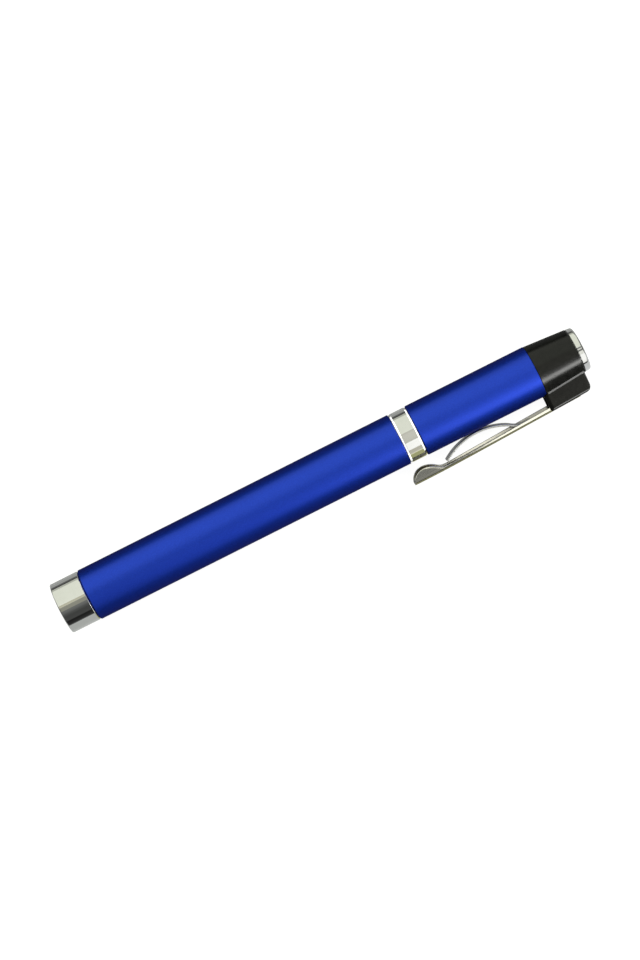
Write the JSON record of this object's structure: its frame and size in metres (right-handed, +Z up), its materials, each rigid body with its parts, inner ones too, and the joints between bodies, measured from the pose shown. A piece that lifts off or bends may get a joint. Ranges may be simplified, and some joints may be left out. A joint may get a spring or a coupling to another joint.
{
  "type": "penlight",
  "caption": "Slim pocket penlight: anodised two-length barrel with bright head, ring and tail plug, and a rocking spring clip on a moulded collar that switches it.",
  "frame": {"origin": "on the barrel's axis, half-way between the head rim and the tail plug's end", "axes": "+X along the barrel towards the tail plug, so the light points along -X; +Z up; stored as it lies on a table, on the barrel and on the clip boss, with the clip towards -Y"},
  "size_m": [0.135, 0.0176, 0.0126],
  "materials": {
    "blue_anodised": "satin blue anodised",
    "bright_plate": "polished plating on brass",
    "black_plastic": "satin moulded",
    "clip_steel": "polished plated spring steel",
    "spring_steel": "drawn spring steel",
    "contact_brass": "bright",
    "clear_lens": "clear moulded",
    "reflector_bright": "vacuum metallised",
    "lamp_epoxy": "clear epoxy over phosphor",
    "white_plastic": "moulded",
    "board_green": "solder mask",
    "resistor_dark": "ceramic chip",
    "tinned_wire": "tinned",
    "cell_steel": "nickel-plated can",
    "cell_wrap": "printed film",
    "cell_base": "nickel-plated"
  },
  "bodies": {
    "rear_body": {"coupling_ring": "bright_plate", "rear_tube": "blue_anodised", "tail_collar": "black_plastic", "tail_spring": "spring_steel", "tail_plug": "bright_plate", "clip_pin": "spring_steel", "clip_contact": "contact_brass"},
    "cells": {"front_cell_can": "cell_steel", "front_cell_wrap": "cell_wrap", "front_cell_base": "cell_base", "rear_cell_can": "cell_steel", "rear_cell_wrap": "cell_wrap", "rear_cell_base": "cell_base"},
    "front_body": {"head_bezel": "bright_plate", "front_lens": "clear_lens", "reflector": "reflector_bright", "led_emitter": "lamp_epoxy", "led_leads": "tinned_wire", "led_carrier": "white_plastic", "ground_ring": "contact_brass", "led_board": "board_green", "series_resistor": "resistor_dark", "positive_contact": "contact_brass", "contact_holder": "white_plastic", "front_tube": "blue_anodised"},
    "clip_lever": {"clip": "clip_steel", "clip_spring": "spring_steel"}
  },
  "joints": [
    {"name": "thread_advance", "type": "slide", "parent": "rear_body", "child": "cells", "axis": [-1, 0, 0], "range_m": [0, 0.0032], "deforming": ["tail_spring"]},
    {"name": "barrel_unscrew", "type": "hinge", "parent": "cells", "child": "front_body", "pos_m": [0, 0, 0], "axis": [-1, 0, 0], "range_deg": [0, 1440]},
    {"name": "clip_press", "type": "hinge", "parent": "rear_body", "child": "clip_lever", "pos_m": [0.06, -0.00787, -0.00292], "axis": [0, 0.348, -0.9375], "range_deg": [0, 3.6], "stiffness_Nm_per_rad": 0.4, "springref_deg": -3.44, "deforming": ["clip_spring"]}
  ],
  "couplings": [
    {"joint": "barrel_unscrew", "follows": "thread_advance", "rad_per_m": 7854}
  ]
}
